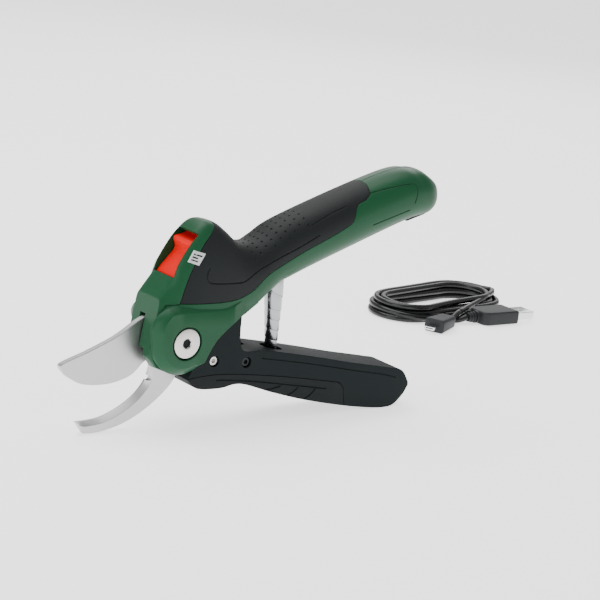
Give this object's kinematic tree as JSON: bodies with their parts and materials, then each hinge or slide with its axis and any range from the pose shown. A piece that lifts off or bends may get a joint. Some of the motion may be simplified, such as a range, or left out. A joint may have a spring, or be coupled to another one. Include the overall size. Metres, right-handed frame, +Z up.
{
  "type": "battery electric pruner",
  "caption": "One-hand powered pruning shear: curved blade over a fixed hook, squeeze lever with volute spring, screw-drive handle, lock slider and a coiled USB charging cable.",
  "frame": {"origin": "on the floor under the middle of the tool's bounding box, cable left out; the tool stands on its hook blade and the back of its lever", "axes": "+X from the blades to the rear of the handle, +Y to the tool's right side, +Z up"},
  "size_m": [0.4033, 0.1845, 0.1224],
  "materials": {
    "green_shell": "satin moulded, fine grain",
    "soft_grip": "matte soft-touch overmould with fine dimples",
    "red_slider": "semi-gloss moulded",
    "black_plastic": "fine matte grain",
    "blade_steel": "satin ground, polished bevel",
    "bolt_steel": "turned and blasted",
    "spring_steel": "bare spring steel",
    "plated_steel": "bright nickel plate",
    "brass": "turned",
    "gear_nylon": "natural moulded nylon",
    "cell_wrap": "shrink sleeve",
    "board_green": "solder mask",
    "cable_black": "smooth extruded jacket",
    "plug_black": "fine matte moulded"
  },
  "bodies": {
    "housing": {"left_shell": "green_shell", "right_shell": "green_shell", "head_cover": "green_shell", "grip_overmould": "soft_grip", "hook_blade": "blade_steel", "hook_anchor_pin": "bolt_steel", "pivot_bolt": "bolt_steel", "pivot_nut": "bolt_steel", "pivot_spacer_left": "bolt_steel", "pivot_spacer_right": "bolt_steel", "ring_gear": "gear_nylon", "gearbox_cover": "bolt_steel", "screw_bearing": "bolt_steel", "motor_can": "plated_steel", "battery_cell": "cell_wrap", "circuit_board": "board_green", "usb_port": "plated_steel", "micro_switch": "black_plastic", "housing_screw_1": "bolt_steel", "housing_screw_2": "bolt_steel", "housing_screw_3": "bolt_steel", "return_spring": "spring_steel"},
    "lever": {"lever": "black_plastic", "lever_pad": "black_plastic", "upper_blade": "blade_steel", "blade_pin": "bolt_steel", "pivot_bush": "brass", "lever_screw_1": "bolt_steel", "lever_screw_2": "bolt_steel"},
    "lock_slider": {"lock_slider": "red_slider"},
    "drive_nut": {"drive_nut": "brass"},
    "lead_screw": {"lead_screw": "bolt_steel"},
    "planet_1": {"planet_gear_1": "gear_nylon"},
    "planet_2": {"planet_gear_2": "gear_nylon"},
    "planet_3": {"planet_gear_3": "gear_nylon"},
    "motor_rotor": {"motor_shaft": "bolt_steel", "sun_gear": "brass"},
    "port_cover": {"port_cover": "black_plastic"},
    "charging_cable": {"cable_coil": "cable_black", "cable_lead_a": "cable_black", "cable_lead_b": "cable_black", "usb_a_overmould": "plug_black", "usb_a_shell": "plated_steel", "usb_a_strain_relief": "plug_black", "micro_usb_overmould": "plug_black", "micro_usb_shell": "plated_steel", "micro_usb_strain_relief": "plug_black"}
  },
  "joints": [
    {"name": "lever_squeeze", "type": "hinge", "parent": "housing", "child": "lever", "pos_m": [-0.04805, 0, 0.04427], "axis": [0, -1, 0], "range_deg": [0, 28], "stiffness_Nm_per_rad": 1, "springref_deg": -45.84, "deforming": ["return_spring"]},
    {"name": "lock_slide", "type": "slide", "parent": "housing", "child": "lock_slider", "axis": [0.5814, 0, 0.8136], "range_m": [0, 0.0025]},
    {"name": "nut_travel", "type": "slide", "parent": "housing", "child": "drive_nut", "axis": [-0.9385, 0, -0.3453], "range_m": [0, 0.00765]},
    {"name": "screw_spin", "type": "hinge", "parent": "housing", "child": "lead_screw", "pos_m": [-0.05358, 0, 0.05928], "axis": [0.9385, 0, 0.3453], "range_deg": [0, 917]},
    {"name": "planet_spin_1", "type": "hinge", "parent": "lead_screw", "child": "planet_1", "pos_m": [-0.0183, 0, 0.07802], "axis": [0.9385, 0, 0.3453], "range_deg": [-2748, 0]},
    {"name": "planet_spin_2", "type": "hinge", "parent": "lead_screw", "child": "planet_2", "pos_m": [-0.01551, -0.00468, 0.07042], "axis": [0.9385, 0, 0.3453], "range_deg": [-2748, 0]},
    {"name": "planet_spin_3", "type": "hinge", "parent": "lead_screw", "child": "planet_3", "pos_m": [-0.01551, 0.00468, 0.07042], "axis": [0.9385, 0, 0.3453], "range_deg": [-2748, 0]},
    {"name": "rotor_spin", "type": "hinge", "parent": "housing", "child": "motor_rotor", "pos_m": [-0.05358, 0, 0.05928], "axis": [0.9385, 0, 0.3453], "range_deg": [0, 3663]},
    {"name": "port_cover_flap", "type": "hinge", "parent": "housing", "child": "port_cover", "pos_m": [0.08823, 0, 0.09536], "axis": [0, 1, 0], "range_deg": [0, 65]},
    {"name": "cable_lift", "type": "slide", "parent": "housing", "child": "charging_cable", "axis": [0, 0, 1], "range_m": [0, 0.1]}
  ],
  "couplings": [
    {"joint": "nut_travel", "follows": "lever_squeeze", "m_per_rad": 0.015612},
    {"joint": "screw_spin", "follows": "lever_squeeze", "ratio": 32.699},
    {"joint": "planet_spin_1", "follows": "lever_squeeze", "ratio": -98.096},
    {"joint": "planet_spin_2", "follows": "lever_squeeze", "ratio": -98.096},
    {"joint": "planet_spin_3", "follows": "lever_squeeze", "ratio": -98.096},
    {"joint": "rotor_spin", "follows": "lever_squeeze", "ratio": 130.79}
  ]
}
